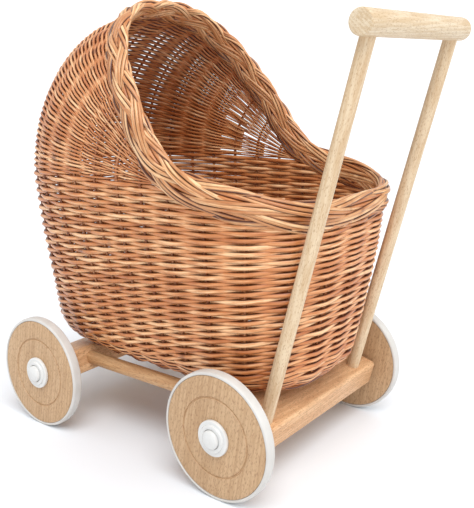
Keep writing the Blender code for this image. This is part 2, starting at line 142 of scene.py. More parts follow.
def span(tree, value, low, high, to_low=0.0, to_high=1.0):
    """Carries low..high smoothly on to to_low..to_high, and holds it there outside."""
    sockets = {"Value": value, "From Min": low, "From Max": high}
    sockets.update({"To Min": to_low, "To Max": to_high})
    return node(tree, "MapRange", sockets, interpolation_type="SMOOTHSTEP").outputs["Result"]


def paint(red, green, blue):
    """A display colour of 0 to 255 as the linear colour that a shader takes."""
    share = np.array((red, green, blue)) / 255
    linear = np.where(share <= 0.04045, share / 12.92, ((share + 0.055) / 1.055) ** 2.4)
    return (*linear.tolist(), 1.0)


def mix(tree, factor, first, second):
    """Two colours mixed by a factor. A Mix node's colour sockets are its inputs 6 and 7."""
    made = tree.nodes.new("ShaderNodeMix")
    made.data_type = "RGBA"
    for socket, value in ((0, factor), (6, first), (7, second)):
        join(tree, value, made.inputs[socket])
    return made.outputs[2]


def bump(tree, shader, height, strength, depth):
    """Small relief from a height between 0 and 1."""
    sockets = {"Height": height, "Strength": strength, "Distance": depth}
    join(tree, node(tree, "Bump", sockets).outputs["Normal"], shader.inputs["Normal"])


# %% The floor
WORLD_LIGHT = 0.78


def add_floor():
    """A wide pale floor, faintly mottled, that is not part of the object."""
    made, tree, shader = new_finish("floor_paper")
    place = node(tree, "TexCoord", {}).outputs["Object"]
    soft = noise(tree, place, 3.0)
    colour = mix(tree, soft, paint(236, 240, 245), paint(240, 244, 249))
    join(tree, colour, shader.inputs["Base Color"])
    shader.inputs["Roughness"].default_value = 0.9
    half = 25.0
    mesh = bpy.data.meshes.new("floor")
    corners = [(-half, -half, 0), (half, -half, 0), (half, half, 0), (-half, half, 0)]
    mesh.from_pydata(corners, [], [(0, 1, 2, 3)])
    floor = bpy.data.objects.new("floor", mesh)
    bpy.context.scene.collection.objects.link(floor)
    mesh.materials.append(made)
    return floor


# %% The light
def add_sun(name, toward, strength, softness):
    """A distant lamp: toward points from the object to it, softness is its width in degrees."""
    data = bpy.data.lights.new(name, "SUN")
    data.energy, data.angle = strength, math.radians(softness)
    lamp = bpy.data.objects.new(name, data)
    bpy.context.scene.collection.objects.link(lamp)
    lamp.matrix_world = Vector(toward).to_track_quat("Z", "Y").to_matrix().to_4x4()
    return lamp


def add_light():
    """A pale world that looks white behind the floor, and two soft suns."""
    world = bpy.data.worlds.new("studio")
    world.use_nodes = True
    tree = world.node_tree
    sky = tree.nodes["Background"]
    sky.inputs["Color"].default_value = (1.0, 1.0, 1.0, 1.0)
    sight = tree.nodes.new("ShaderNodeLightPath").outputs["Is Camera Ray"]
    join(tree, span(tree, sight, 0.0, 1.0, WORLD_LIGHT, 1.2), sky.inputs["Strength"])
    bpy.context.scene.world = world
    bpy.context.scene.view_settings.view_transform = "Standard"
    add_sun("key_sun", (-0.42, 0.36, 0.86), 1.9, 40.0)
    add_sun("fill_sun", (-0.75, -0.30, 0.60), 0.5, 50.0)


add_floor()
add_light()

# %% [markdown]
# ## Surfaces worked out as arrays
#
# Every new piece is a surface over a grid of two parameters: along a rod and round it, or round an
# axle and along its profile. Curves with a bevel would do for one rod. Arrays do hundreds at once,
# and leave exact points to measure.

# %% From arrays to a piece
def unit(vectors):
    """Vectors over their own lengths."""
    return vectors / np.maximum(np.linalg.norm(vectors, axis=-1, keepdims=True), 1e-12)


def add_piece(name, points, faces, marks=None, along=None):
    """A mesh from points (n, 3) and lists of faces with the same corner count.
    marks is a number for each point, kept as "tint"; along is one (u, v) for each face corner."""
    mesh = bpy.data.meshes.new(name)
    corners = np.concatenate([f.reshape(-1) for f in faces]).astype(np.int32)
    counts = np.concatenate([np.full(len(f), f.shape[1]) for f in faces])
    starts = np.concatenate([[0], np.cumsum(counts)[:-1]]).astype(np.int32)
    mesh.vertices.add(len(points))
    mesh.vertices.foreach_set("co", np.asarray(points, np.float32).reshape(-1))
    mesh.loops.add(len(corners))
    mesh.loops.foreach_set("vertex_index", corners)
    mesh.polygons.add(len(counts))
    mesh.polygons.foreach_set("loop_start", starts)
    mesh.update(calc_edges=True)
    if marks is not None:
        layer = mesh.attributes.new("tint", "FLOAT", "POINT")
        layer.data.foreach_set("value", np.asarray(marks, np.float32))
    if along is not None:
        layer = mesh.uv_layers.new(name="rod")
        layer.data.foreach_set("uv", np.asarray(along, np.float32).reshape(-1))
    mesh.validate()
    mesh.shade_smooth()
    piece = bpy.data.objects.new(name, mesh)
    bpy.context.scene.collection.objects.link(piece)
    return piece


def settle(piece, finish, body, slot, *nodes, sharp=None):
    """Gives a piece its finish and its body, and hides the CAD nodes that it stands for. slot is not
    used.
    """
    piece.data.materials.append(finish)
    if sharp is not None:
        piece.data.set_sharp_from_angle(angle=math.radians(sharp))
    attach(piece, body)
    if nodes:
        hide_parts(*nodes)
    print(piece.name, len(piece.data.polygons), "faces")


# %% Many round rods at once
def add_rods(name, paths, outward, radii, tints, sides=6):
    """Rods swept along paths (rods, steps, 3).
    A point is path + radius * (cos(turn) * out + sin(turn) * aside), where out is the outward
    direction made square to the path. Each end is closed by a low dome of one point."""
    count, steps, _ = paths.shape
    forward = unit(np.gradient(paths, axis=1))
    out = unit(outward - (outward * forward).sum(-1, keepdims=True) * forward)
    aside = np.cross(forward, out)
    turn = math.pi + 2 * math.pi * np.arange(sides) / sides
    ring = np.cos(turn)[:, None] * out[:, :, None] + np.sin(turn)[:, None] * aside[:, :, None]
    skin = paths[:, :, None] + radii[:, :, None, None] * ring
    dome = 0.45 * radii[:, [0, -1], None] * np.array([-1, 1])[:, None]
    poles = paths[:, [0, -1]] + dome * forward[:, [0, -1]]
    points = np.concatenate([skin.reshape(-1, 3), poles.reshape(-1, 3)])
    index = np.arange(count * steps * sides).reshape(count, steps, sides)
    after = np.roll(index, -1, axis=2)
    quads = np.stack([index[:, :-1], after[:, :-1], after[:, 1:], index[:, 1:]], -1)
    pole = (index.size + np.arange(count * 2)).reshape(count, 2, 1)
    first = np.stack(np.broadcast_arrays(pole[:, :1, 0], after[:, 0], index[:, 0]), -1)
    last = np.stack(np.broadcast_arrays(pole[:, 1:, 0], index[:, -1], after[:, -1]), -1)
    length = np.zeros((count, steps))
    length[:, 1:] = np.cumsum(np.linalg.norm(np.diff(paths, axis=1), axis=-1), axis=1)
    low = np.broadcast_to(np.arange(sides) / sides, (count, steps - 1, sides))
    start = np.broadcast_to(length[:, :-1, None], low.shape)
    end = np.broadcast_to(length[:, 1:, None], low.shape)
    high = low + 1 / sides
    quad_uv = np.stack([np.stack([start, low], -1), np.stack([start, high], -1),
                        np.stack([end, high], -1), np.stack([end, low], -1)], -2)
    first_uv = np.zeros((count, sides, 3, 2))
    last_uv = np.zeros((count, sides, 3, 2))
    last_uv[..., 0] = length[:, -1, None, None]
    along = np.concatenate([quad_uv.reshape(-1, 2), first_uv.reshape(-1, 2), last_uv.reshape(-1, 2)])
    marks = np.concatenate([np.repeat(tints, steps * sides), np.repeat(tints, 2)])
    faces = [quads.reshape(-1, 4), first.reshape(-1, 3), last.reshape(-1, 3)]
    return add_piece(name, points, faces, marks, along)


# %% [markdown]
# ## The willow
#
# The rods are whole willow shoots, boiled so that the bark stains them orange brown, and lacquered.
# A photo texture could not follow hundreds of rods. Here each rod carries its own number and its
# length in a UV map, so noise can run along it as real streaks do, with darker bud scars.

# %% Willow finish
def willow_finish(name, dark, middle, light, scar_and_shade, gloss, painted_shade_depth):
    """Tone from the rod's own number and slow noise along it, streaks along the rod, bud scars.
    Painted shade: each rod is darker along its two sides, where rods touch, in the bud scars'
    colour."""
    made, tree, shader = new_finish(name)
    tint = node(tree, "Attribute", {}, attribute_name="tint").outputs["Fac"]
    split = node(tree, "SeparateXYZ", {0: node(tree, "UVMap", {}, uv_map="rod").outputs["UV"]})
    lane = math_node(tree, "MULTIPLY", tint, 53.0)
    stretched = math_node(tree, "MULTIPLY", split.outputs[0], 14.0)
    slow = node(tree, "CombineXYZ", {0: stretched, 1: lane})
    fine = node(tree, "CombineXYZ", {
        0: math_node(tree, "MULTIPLY", split.outputs[0], 45.0),
        1: math_node(tree, "MULTIPLY", split.outputs[1], 9.0),
        2: lane,
    })
    streak = noise(tree, fine.outputs[0], 1.0, detail=4.0, roughness=0.6)
    drift = noise(tree, slow.outputs[0], 1.0, detail=2.0)
    tone = math_node(tree, "ADD", math_node(tree, "MULTIPLY", tint, 0.26),
                     math_node(tree, "MULTIPLY", drift, 0.58))
    tone = math_node(tree, "ADD", tone, span(tree, streak, 0.3, 0.7, -0.04, 0.22))
    colour = mix(tree, span(tree, tone, 0.2, 0.6), dark, middle)
    colour = mix(tree, span(tree, tone, 0.48, 0.8), colour, light)
    buds = noise(tree, slow.outputs[0], 2.7, detail=0.0)
    mark = span(tree, buds, 0.74, 0.84, 0.0, 0.6)
    colour = mix(tree, mark, colour, scar_and_shade)
    # Painted shade: the top and bottom sides of each rod, where its neighbours touch it, are mixed
    # towards the dark scar colour.
    turn = math_node(tree, "MULTIPLY", split.outputs[1], 2 * math.pi)
    facing = math_node(tree, "ABSOLUTE", math_node(tree, "COSINE", turn))
    painted_shade_mask = span(tree, facing, 0.15, 0.9, painted_shade_depth, 0.0)
    join(tree, mix(tree, painted_shade_mask, colour, scar_and_shade), shader.inputs["Base Color"])
    join(tree, span(tree, streak, 0.2, 0.8, gloss - 0.08, gloss + 0.12), shader.inputs["Roughness"])
    shader.inputs["Coat Weight"].default_value = 0.3
    shader.inputs["Coat Roughness"].default_value = 0.28
    bump(tree, shader, streak, 0.5, 0.0004)
    return made


# The fourth colour serves both the bud scars and the painted shade along each rod's sides. The last
# number is how strong that painted shade is.
BROWN_WILLOW = willow_finish("brown_willow", paint(182, 104, 50), paint(216, 144, 88),
                             paint(252, 206, 156), paint(84, 24, 2), 0.38, 0.97)
STAKE_WILLOW = willow_finish("stake_willow", paint(136, 72, 36), paint(168, 100, 56),
                             paint(196, 134, 86), paint(96, 48, 24), 0.5, 0.4)
STRAW_WILLOW = willow_finish("straw_willow", paint(180, 110, 60), paint(210, 150, 98),
                             paint(250, 208, 158), paint(76, 24, 4), 0.36, 1.0)

# %% [markdown]
# ## The basket's surface
#
# Seen from above, each level is two half superellipses that meet where the basket is widest.
# The wall flares out as it rises and tucks in at the foot; the hood is a fan of arches that tilt
# up about the widest line. These are the CAD solid's own formulas, over whole arrays of angles.

# %% Places and sizes
REAR_AXLE_X, FRONT_AXLE_X = [
    sum(corner[0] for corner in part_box("tyre_" + end + "_left")) / 2 for end in ("rear", "front")]
AXLE_Z = 0.075
BASE_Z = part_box("basket_base")[0].z
WALL = 0.010
FLOOR = 0.0083
WALL_Z = BASE_Z + FLOOR
PIVOT = np.array((REAR_AXLE_X + 0.084, 0.0, BASE_Z + 0.251))
HALF_WIDTH_LOW, HALF_WIDTH_HIGH = 0.114, 0.149
FRONT_LOW, FRONT_HIGH = 0.296, 0.319
REAR_LOW, REAR_HIGH = 0.1436, 0.1825
FRONT_POWER, REAR_POWER, HOOD_POWER = 3.4, 3.0, 2.5
FLARE_POWER = 1.4
FOOT_ROUND, FOOT_HEIGHT = 0.014, 0.022
SIDE_SLOPE = 0.215
HOOD_ANGLE = math.radians(57.3)
HOOD_REACH = 0.2487
BORDER_HEIGHT, BORDER_THICKNESS = 0.040, 0.024
BORDER_LIFT, BORDER_BLEND, BORDER_REAR_INSET = 0.004, 0.0139, 0.002


def level(angle, half_width, front, rear, front_power, rear_power):
    """(ahead, aside) at polar angles, where radius = ((|cos| / length)^p
    + (|sin| / half width)^p)^(-1/p), with one length and power in front and another behind."""
    cosine, sine = np.cos(angle), np.sin(angle)
    power = np.where(cosine > 0, front_power, rear_power)
    length = np.where(cosine > 0, front, rear)
    total = (np.abs(cosine) / length) ** power + (np.abs(sine) / half_width) ** power
    radius = total ** (-1 / power)
    return radius * cosine, radius * sine


def wall_place(angle, share, inset=WALL / 2):
    """The wall at a height share of 0 (foot) to 1 (border or hood), inset from its outside."""
    height = PIVOT[2] - WALL_Z
    rise = share * height
    flare = 1 - (1 - share) ** FLARE_POWER
    tuck = np.maximum(0.0, 1 - rise / FOOT_HEIGHT)
    inset = inset + FOOT_ROUND * (1 - np.sqrt(1 - tuck ** 2))
    half_width = HALF_WIDTH_LOW + (HALF_WIDTH_HIGH - HALF_WIDTH_LOW) * flare - inset
    front = FRONT_LOW + (FRONT_HIGH - FRONT_LOW) * flare - inset
    rear = REAR_LOW + (REAR_HIGH - REAR_LOW) * flare - inset
    ahead, aside = level(angle, half_width, front, rear, FRONT_POWER, REAR_POWER)
    rise = share * (height + SIDE_SLOPE * np.minimum(ahead, 0))
    return np.stack([PIVOT[0] + ahead, aside, WALL_Z + rise], -1)


def hood_place(angle, share, inset=WALL / 2):
    """The hood at a tilt share of 0 (level) to 1 (mouth)."""
    tilt = HOOD_ANGLE * share
    reach = FRONT_HIGH + (HOOD_REACH - FRONT_HIGH) * share ** 2 - inset
    power = FRONT_POWER + (HOOD_POWER - FRONT_POWER) * share
    ahead, aside = level(angle, HALF_WIDTH_HIGH - inset, reach, reach, power, power)
    return PIVOT + np.stack([ahead * np.cos(tilt), aside, ahead * np.sin(tilt)], -1)


def outward_of(place, angle, share):
    """The outward direction of a surface: the cross product of its two small steps."""
    step = 1e-4
    round_it = place(angle + step, share) - place(angle - step, share)
    low, high = np.clip(share - step, 0, 1), np.clip(share + step, 0, 1)
    return unit(np.cross(round_it, place(angle, high) - place(angle, low)))


# %% The stakes' angles
STAKES = 30
REAR_SPREAD = 1.3       # how much further apart the stakes stand round the rear


def angle_table():
    """Polar angles of evenly counted stakes, from the front. Behind the widest line the rim's
    length counts for less, so the stakes stand further apart there."""
    angle = np.linspace(0, 2 * math.pi, 4001)
    rim = wall_place(angle, np.ones_like(angle))
    part = np.linalg.norm(np.diff(rim, axis=0), axis=1)
    part = np.where(np.cos(angle[1:]) < 0, part / REAR_SPREAD, part)
    run = np.concatenate([[0], np.cumsum(part)])
    print("a stake every", round(run[-1] / STAKES * 1000, 1), "mm at the front and sides")
    return run / run[-1] * STAKES, angle


STAKE_RUN, STAKE_ANGLE = angle_table()


def angle_at(stake):
    """The polar angle at a place counted in stakes, which may run past a whole turn."""
    turns = np.floor(stake / STAKES)
    return np.interp(stake - turns * STAKES, STAKE_RUN, STAKE_ANGLE) + 2 * math.pi * turns


# %% [markdown]
# ## The wall
#
# Plain randing: one row of rods after another, each going in front of one stake and behind the
# next, and the row above the other way round. The rows rise towards the rear, so some of them end
# at the foot, or under the border, and thin level rows close the foot. All this could be a flat
# surface with a woven bump. Real rods throw real shadows and leave real gaps, so each row is made
# of rods that wave through the wall.

# %% Sizes of the rods
RNG = np.random.default_rng(41)
ROW_PITCH = 0.0046
ROD_RADIUS, THINNEST = 0.0030, 0.0013
ROOM_SHARE = 0.75       # radius of a rod over the room that its row has, between those two
STAKE_RADIUS = 0.0021
WAVE_SHARE = 0.56       # depth of a rod's wave over its own and a stake's radius
WANDER = 0.0007         # how far a rod wanders up and down, as a share of the height
TUCK, TUCK_STAKES = 0.0012, 0.6     # the ends of a rod sink in this far, over this many stakes
STEPS = 8               # points from one stake to the next


def even_shares(place, angle, pitch):
    """Height shares whose places up the surface, at one angle, are a rod apart."""
    share = np.linspace(0, 1, 2001)
    points = place(np.full_like(share, angle), share)
    run = np.concatenate([[0], np.cumsum(np.linalg.norm(np.diff(points, axis=0), axis=1))])
    rows = int(round(run[-1] / pitch))
    return np.interp(np.arange(rows) / rows * run[-1], run, share)


def wander(stake, count, size, rate=0.35):
    """A slow random swing along each rod, from three sines of random phase."""
    phase = RNG.uniform(0, 2 * math.pi, (3, count, 1))
    rates = rate * np.array([1.0, 1.9, 3.1])[:, None, None] * RNG.uniform(0.8, 1.2, (3, count, 1))
    return size * (np.sin(rates * stake + phase) * np.array([0.6, 0.4, 0.25])[:, None, None]).sum(0)


# %% Weaving rods along rows
ZIGZAG = 0.985          # 0 for a plain cosine, 1 for straight lines from stake to stake


def over_and_under(phase):
    """A wave between a cosine and a zigzag: asin(zigzag * cos(pi * phase)) / asin(zigzag)."""
    return np.arcsin(ZIGZAG * np.cos(math.pi * phase)) / math.asin(ZIGZAG)


def weave_rows(name, place, rows, share_at, gap, start, end, thickest, nodes, shift=None):
    """Rods along rows of a surface, each from one stake to another.
    A rod is place + out * (wave * swing - sink), and swing goes over and under.
    Its thickness follows the room that its row has, and its wave follows its thickness.
    share_at gives a row's share at an angle, and gap is the share from one row to the next."""
    steps = int(np.max(end - start) * STEPS) + 1
    stake = start[:, None] + (end - start)[:, None] * np.linspace(0, 1, steps)
    angle = angle_at(stake)
    share = np.clip(share_at(rows[:, None], angle) + wander(stake, len(rows), WANDER), 0, 1)
    outward = outward_of(place, angle, share)
    low, high = np.clip(share - gap / 2, 0, 1), np.clip(share + gap / 2, 0, 1)
    climb = (place(angle, high) - place(angle, low)) * (gap / (high - low))[..., None]
    room = np.linalg.norm(climb, axis=-1)
    size = RNG.uniform(0.93, 1.07, (len(rows), 1))
    radii = np.clip(room * ROOM_SHARE, THINNEST, thickest) * size
    turned = 0 if shift is None else shift(rows[:, None], stake)
    swing = over_and_under(stake + rows[:, None] + turned)
    from_end = np.minimum(stake - start[:, None], end[:, None] - stake)
    sink = np.clip(1 - from_end / TUCK_STAKES, 0, 1) * TUCK
    wave = (radii + STAKE_RADIUS) * WAVE_SHARE
    paths = place(angle, share) + outward * (wave * swing - sink)[..., None]
    piece = add_rods(name, paths, outward, radii, RNG.uniform(0, 1, len(rows)))
    settle(piece, BROWN_WILLOW, "chassis", "willow", *nodes)
    return piece


# %% Rows of the wall
WALL_SHARES = even_shares(wall_place, math.pi / 2, ROW_PITCH)
ROW_GAP = WALL_SHARES[len(WALL_SHARES) // 2 + 1] - WALL_SHARES[len(WALL_SHARES) // 2]
ROW_TILT = 0.15         # how much the rows rise towards the rear, in the lower half of the wall
TILT_FADE = 0.5         # the tilt fades to none over this share below the top row
ROWS_BELOW = 12         # rows below the foot, which come up out of it towards the rear
FOOT_SHARE = 0.070      # the tilted rows lie between these two
TOP_SHARE = 0.985


def wall_share(rows, angle):
    """The height share of a row at an angle. A row is a plane that rises towards the rear:
    height = first height - tilt * ahead, where the tilt fades out towards the top."""
    height = PIVOT[2] - WALL_Z
    ahead = wall_place(angle, 0.5)[..., 0] - PIVOT[0]
    first = np.interp(rows, np.arange(len(WALL_SHARES)), WALL_SHARES) + np.minimum(rows, 0) * ROW_GAP
    tilt = ROW_TILT * np.clip((WALL_SHARES[-1] - first) / TILT_FADE, 0, 1)
    return (first * height - tilt * ahead) / (height + SIDE_SLOPE * np.minimum(ahead, 0))


def row_arcs():
    """Which stakes each row passes: where its share is between the foot and the border.
    Returns rows that go all the way round, and (row, start, end) of rows that don't."""
    stake = np.linspace(0, STAKES / 2, 601)
    rounds, arcs = [], []
    for row in range(-ROWS_BELOW, len(WALL_SHARES)):
        share = wall_share(np.array([row]), angle_at(stake))
        inside = (share > FOOT_SHARE) & (share < TOP_SHARE)
        if inside.all():
            rounds.append(row)
        elif inside.any():
            low, high = stake[inside][0], stake[inside][-1]
            arcs.append((row, -high, high) if low == 0 else (row, low, STAKES - low))
    return np.array(rounds), np.array(arcs)


ROUND_ROWS, ARC_ROWS = row_arcs()
print("rows all round", len(ROUND_ROWS), "and part of the way", len(ARC_ROWS))


# %% Rods of the whole rows
LAP = 0.35              # in stakes: how far a rod runs on past the stake that hides its end


def wall_rods():
    """Three rods to a row. Each one starts and ends inside, behind a stake."""
    length = STAKES // 3
    rows = np.repeat(ROUND_ROWS, 3)
    first = 2 * RNG.integers(0, STAKES // 2, len(ROUND_ROWS)) + 1
    start = np.repeat(first, 3) + np.tile([0, length, 2 * length], len(ROUND_ROWS)) - rows % 2
    return rows, wall_share, ROW_GAP, start - LAP, start + length + LAP


weave_rows("wall_weave", wall_place, *wall_rods(), ROD_RADIUS, ["basket_wall"])

# %% Rods of the rows that end
ARC_LAP = 0.5           # in stakes: how far their ends go under the foot rows or the border
UNDER_FOOT = 0.02       # as a share of the height: how far they dip under the foot rows


def held_share(rows, angle):
    """The wall's share, held between just under the foot rows and the border."""
    return np.clip(wall_share(rows, angle), FOOT_SHARE - UNDER_FOOT, TOP_SHARE)


def arc_rods():
    """One rod to a row that ends at the foot or under the border."""
    rows = ARC_ROWS[:, 0].astype(int)
    return rows, held_share, ROW_GAP, ARC_ROWS[:, 1] - ARC_LAP, ARC_ROWS[:, 2] + ARC_LAP


weave_rows("wall_part_rows", wall_place, *arc_rods(), ROD_RADIUS, [])

# %% Rods of the foot
FOOT_ROWS = 8
FOOT_ROD_RADIUS = 0.0021
FOOT_ROOM = 1.6         # room of a foot rod over the rows' own gap, so that it stays thick enough
FOOT_LAP = 0.3
FOOT_SHARES = np.linspace(0, FOOT_SHARE - 0.004, FOOT_ROWS)


def foot_share(rows, angle):
    """The share of a foot row: it is the same all round."""
    return FOOT_SHARES[rows] + 0 * angle


def foot_rods():
    """Two thin rods to each level row of the foot."""
    rows = np.repeat(np.arange(FOOT_ROWS), 2)
    start = np.tile([0.0, STAKES / 2], FOOT_ROWS) + rows
    gap = FOOT_ROOM * FOOT_SHARE / FOOT_ROWS
    return rows, foot_share, gap, start - FOOT_LAP, start + STAKES / 2 + FOOT_LAP


weave_rows("wall_foot", wall_place, *foot_rods(), FOOT_ROD_RADIUS, [])

# %% [markdown]
# ## The hood
#
# The weaving goes on up into the hood, where the rows fan out from the two sides. The rows crowd
# towards the sides, so most of them turn back before they get there. Every second row stops where
# the rows come too close, then every fourth, and so on.

# %% Rows of the hood
HOOD_ROWS = 66
CLOSEST = 0.0017        # the least distance between two rows that go on
HOOD_ROD_RADIUS = 0.0024
HOOD_LAP = 0.3          # in stakes: how far a short row runs on past its last stake
UNEVEN = 0.7            # in stakes: how much sooner or later than its room says a row may stop
NEARLY = 1.2            # in stakes: a row that gets this close to the side goes all the way
SIDE_GAP = 0.02
SIDE_STAKE = float(np.interp(math.pi / 2, STAKE_ANGLE, STAKE_RUN))


def row_reach(rank):
    """How many stakes from the front a row of this rank (how often 2 divides it) can go before
    its neighbours come too close."""
    stake = np.linspace(0, SIDE_STAKE, 400)
    ahead = np.linalg.norm(hood_place(angle_at(stake), 1.0)[:, [0, 2]] - PIVOT[[0, 2]], axis=1)
    need = CLOSEST / (HOOD_ANGLE / HOOD_ROWS) / 2.0 ** rank
    return np.interp(-need, -ahead, stake)


def hood_share(rows, angle):
    """The tilt share of a row: it is the same all along it."""
    return rows / HOOD_ROWS + 0 * angle


def hood_rods():
    """Rods over the hood, with shorter ones between longer ones."""
    rows = np.arange(HOOD_ROWS)
    rank = np.where(rows > 0, np.log2(np.maximum(rows & -rows, 1)), 9.0)
    reach = row_reach(rank)
    ends = [np.floor(reach + RNG.uniform(-UNEVEN, UNEVEN, HOOD_ROWS)) + HOOD_LAP for _ in "ab"]
    ends = [np.where(reach > SIDE_STAKE - NEARLY, SIDE_STAKE - SIDE_GAP, end) for end in ends]
    return rows, hood_share, 1 / HOOD_ROWS, -ends[0], ends[1]


def hood_shift(rows, stake):
    """Where every second row has stopped, half of the others go over two stakes, so that
    neighbours still pass a stake on opposite sides."""
    total = np.where(len(WALL_SHARES) % 2 == 1, 1.0, 0.0)
    for rank in range(2):
        stop = row_reach(float(rank))
        passed = np.clip(np.abs(stake) - stop + 0.5, 0, 1)
        total = total + passed * ((rows >> (rank + 1)) % 2)
    return total


weave_rows("hood_weave", hood_place, *hood_rods(), HOOD_ROD_RADIUS, ["basket_hood"], hood_shift)

# %% [markdown]
# ## The stakes
#
# The upright rods that the rows are woven round. Only short bits of them show between the rows.
# They stand at the same angles in the wall and the hood, so they run on from one into the other.

# %% Stakes of wall and hood
def stand_stakes(name, place, stakes, steps=44):
    """Rods that keep their angle while the share of the height runs from 0 to 1."""
    share = np.broadcast_to(np.linspace(0, 1, steps), (len(stakes), steps))
    angle = angle_at(stakes[:, None] + 0.0 * share)
    radii = np.full(share.shape, STAKE_RADIUS) * RNG.uniform(0.92, 1.08, (len(stakes), 1))
    piece = add_rods(name, place(angle, share), outward_of(place, angle, share), radii,
                     RNG.uniform(0, 1, len(stakes)))
    settle(piece, STAKE_WILLOW, "chassis", "willow")


stand_stakes("wall_stakes", wall_place, np.arange(STAKES))
stand_stakes("hood_stakes", hood_place, np.arange(-int(SIDE_STAKE), int(SIDE_STAKE) + 1))

# %% [markdown]
# ## The border
#
# Round the whole opening the stakes and added rods are plaited into a thick border, paler than the
# wall. A twisted rope would be simpler, but the rods cross in both directions at a low angle. So
# two families of rod bundles wind round one oval section in opposite ways, over and under.

# %% The border's line
def border_line(count=4000):
    """The border's middle line in even steps, with the distance along it and its upright.
    Its height over the widest line is a hyperbola between the side's slope and the hood's tilt."""
    angle = np.linspace(0, 2 * math.pi, count + 1)
    ahead, aside = level(angle, HALF_WIDTH_HIGH - WALL / 2, HOOD_REACH - WALL / 2,
                         REAR_HIGH - WALL / 2 - BORDER_REAR_INSET, HOOD_POWER, REAR_POWER)
    ahead = np.where(ahead > 0, ahead * math.cos(HOOD_ANGLE), ahead)
    low, steep = SIDE_SLOPE * ahead, math.tan(HOOD_ANGLE) * ahead
    half = (steep - low) / 2
    root = np.hypot(half, BORDER_BLEND)
    steepest = math.tan(HOOD_ANGLE)
    slope = (SIDE_SLOPE + steepest) / 2 + half / root * (steepest - SIDE_SLOPE) / 2
    middle = PIVOT + np.stack([ahead, aside, (low + steep) / 2 + root + BORDER_LIFT], -1)
    run = np.concatenate([[0], np.cumsum(np.linalg.norm(np.diff(middle, axis=0), axis=1))])
    lean = np.arctan(slope)
    upright = np.stack([-np.sin(lean), 0 * lean, np.cos(lean)], -1)
    return run, middle, upright


BORDER_RUN, BORDER_MIDDLE, BORDER_UPRIGHT = border_line()
BORDER_LENGTH = BORDER_RUN[-1]
print("border", round(BORDER_LENGTH, 3), "m long")


def on_border(run):
    """Middle, upright and outward direction at distances along the border."""
    run = np.mod(run, BORDER_LENGTH)
    pick = [np.stack([np.interp(run, BORDER_RUN, table[:, k]) for k in range(3)], -1)
            for table in (BORDER_MIDDLE, BORDER_UPRIGHT, np.gradient(BORDER_MIDDLE, axis=0))]
    middle, upright, forward = pick[0], pick[1], unit(pick[2])
    upright = unit(upright - (upright * forward).sum(-1, keepdims=True) * forward)
    return middle, upright, np.cross(forward, upright)


# %% Two families of bundles
BUNDLES = 4             # in each direction
BUNDLE_RODS = 3
TURNS = 3               # that a bundle winds round the section on its way round the opening
STEEPER = 0.08          # how much more of a turn it winds at the top of the hood
PLAIT_RADIUS = 0.0027
PLAIT_WAVE = 0.0019
PLAIT_LANE = 1.95       # from one rod to the next in a bundle, over a rod's radius
PLAIT_LAP = 0.035       # how far a rod runs beside the one that follows it
PLAIT_TUCK, TUCK_LENGTH = 0.005, 0.022      # how far its ends sink in, and over what length
TAPER = 0.12            # how much thinner a rod is at its end
WANDER_LENGTH = 0.044   # length along the border that counts as one stake in a rod's wandering
PLAIT_WANDER = 0.012    # how far it wanders sideways, as a share of the section's outline
PROUD = 0.0008          # how far the rods stand out over the CAD border's section
STAGGER = (0.31, 0.17, 0.12)    # by strand, by bundle and at random: no two ends lie together
INNER_SHARE = 0.35      # the plait lies outside the wall: its inner half is this much thinner


def turns_at(run):
    """Turns wound so far: even winding, plus a sine that makes it steeper over the hood."""
    share = run / BORDER_LENGTH
    return TURNS * (share + STEEPER * np.sin(2 * math.pi * share))


def section_table():
    """Ellipse angles that share the section's outline evenly."""
    angle = np.linspace(0, 2 * math.pi, 721)
    outline = np.stack([np.cos(angle) * BORDER_THICKNESS / 2, np.sin(angle) * BORDER_HEIGHT / 2], -1)
    run = np.concatenate([[0], np.cumsum(np.linalg.norm(np.diff(outline, axis=0), axis=1))])
    return run / run[-1], angle, run[-1]


SECTION_RUN, SECTION_ANGLE, SECTION_LENGTH = section_table()


def border_places(run, turn, half_wide, half_tall):
    """Places on an oval about the border's line, and the outward direction there: middle
    + across * half_wide * cos(turn) + upright * half_tall * sin(turn), thinner on the inner side."""
    middle, upright, across = on_border(run)
    wide = half_wide * np.cos(turn) * np.where(np.cos(turn) < 0, INNER_SHARE, 1)
    tall = half_tall * np.sin(turn)
    paths = middle + across * wide[..., None] + upright * tall[..., None]
    return paths, unit(across * np.cos(turn)[..., None] + upright * np.sin(turn)[..., None])


